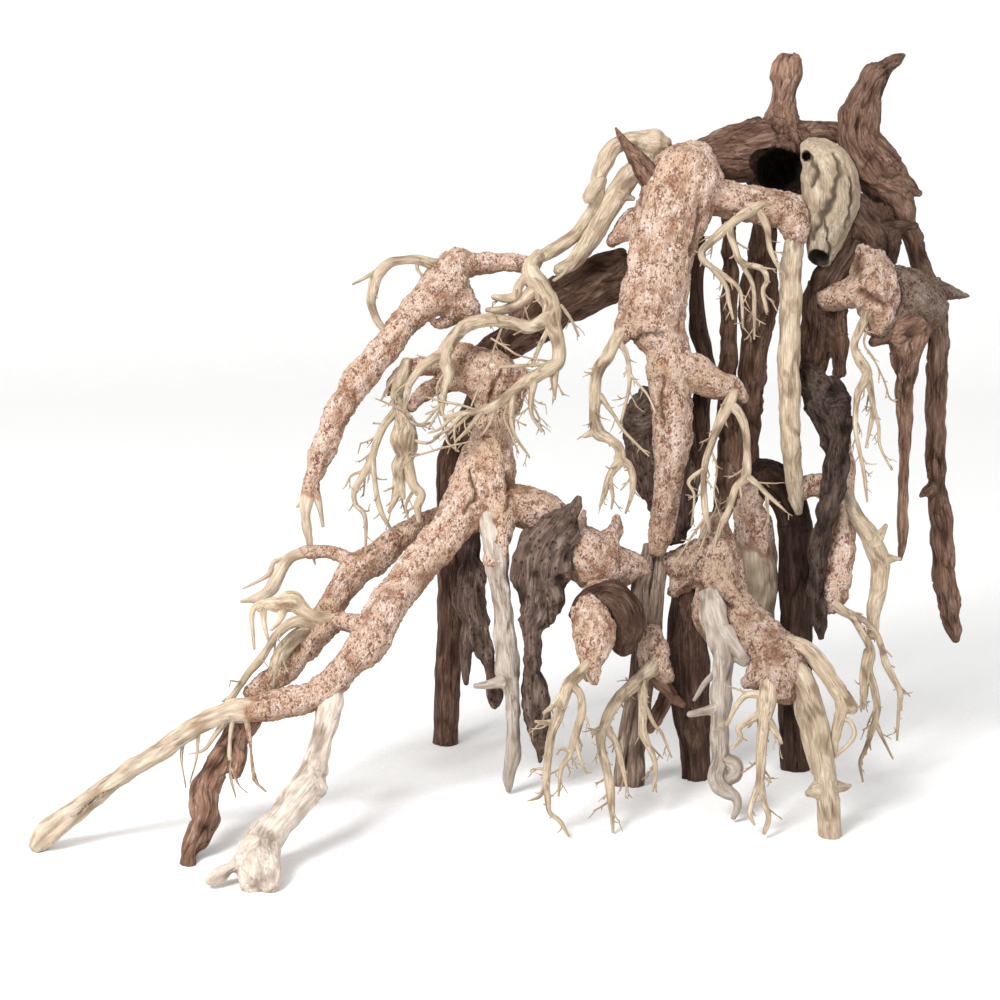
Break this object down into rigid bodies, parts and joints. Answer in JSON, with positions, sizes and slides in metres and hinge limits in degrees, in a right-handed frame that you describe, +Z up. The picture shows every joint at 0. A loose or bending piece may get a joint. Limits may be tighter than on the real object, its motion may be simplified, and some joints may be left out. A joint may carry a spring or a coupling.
{
  "type": "aquarium root",
  "caption": "Driftwood root arch for an aquarium: grit-coated limbs, dark stakes and hanging rootlets standing on cut feet.",
  "frame": {"origin": "centre of the bounding box on the floor that the feet stand on", "axes": "+Z up, +X to the right as seen from the front, +Y away from the viewer"},
  "size_m": [0.6354, 0.3351, 0.5038],
  "materials": {
    "wood_grit": "coarse pinkish wood grit bound with glue",
    "pale_root": "smooth peeled root",
    "dark_hardwood": "dark straight-grained stake",
    "weathered_wood": "weathered brown driftwood",
    "grey_driftwood": "grey pitted driftwood",
    "bleached_wood": "bleached grey-white wood"
  },
  "bodies": {
    "root": {"post_left": "dark_hardwood", "stake_right": "dark_hardwood", "stake_left": "dark_hardwood", "post_mid": "dark_hardwood", "post_right": "dark_hardwood", "log_back": "wood_grit", "trunk_limb": "wood_grit", "long_limb": "wood_grit", "bridge_body": "wood_grit", "centre_body": "wood_grit", "stake_lobe": "wood_grit", "front_lobe": "wood_grit", "second_limb": "wood_grit", "upper_left_limb": "wood_grit", "right_body": "wood_grit", "dark_joint": "wood_grit", "right_lower_limb": "wood_grit", "beam": "weathered_wood", "crown_log": "weathered_wood", "horn_root": "weathered_wood", "knuckle": "pale_root", "grit_bar": "wood_grit", "dark_knot": "weathered_wood", "thorn": "weathered_wood", "brown_post_right": "weathered_wood", "brown_post_mid": "weathered_wood", "dark_strand": "dark_hardwood", "grey_slab": "grey_driftwood", "wide_brown_piece": "weathered_wood", "lower_grey_root": "grey_driftwood", "pale_branch_upper": "pale_root", "pale_branch_lower": "pale_root", "hub_roots": "pale_root", "loop_root": "pale_root", "tan_knot_root": "pale_root", "dark_foot": "weathered_wood", "pale_foot": "bleached_wood", "bulb_root": "pale_root", "side_roots": "pale_root", "pale_strut": "bleached_wood", "grey_stub": "grey_driftwood", "driftwood_plate": "grey_driftwood", "bark_cap": "dark_hardwood", "dark_stub": "weathered_wood", "front_root": "bleached_wood", "foot_root": "pale_root", "green_arm": "pale_root", "twig_root": "pale_root", "spray_front_left": "pale_root", "spray_front_mid": "pale_root", "spray_trunk_left": "pale_root", "spray_bar": "pale_root", "spray_trunk_right": "pale_root", "straight_root": "pale_root", "spike_root": "weathered_wood", "spray_right": "pale_root", "curved_root": "pale_root", "spray_far_right": "pale_root"}
  },
  "joints": []
}
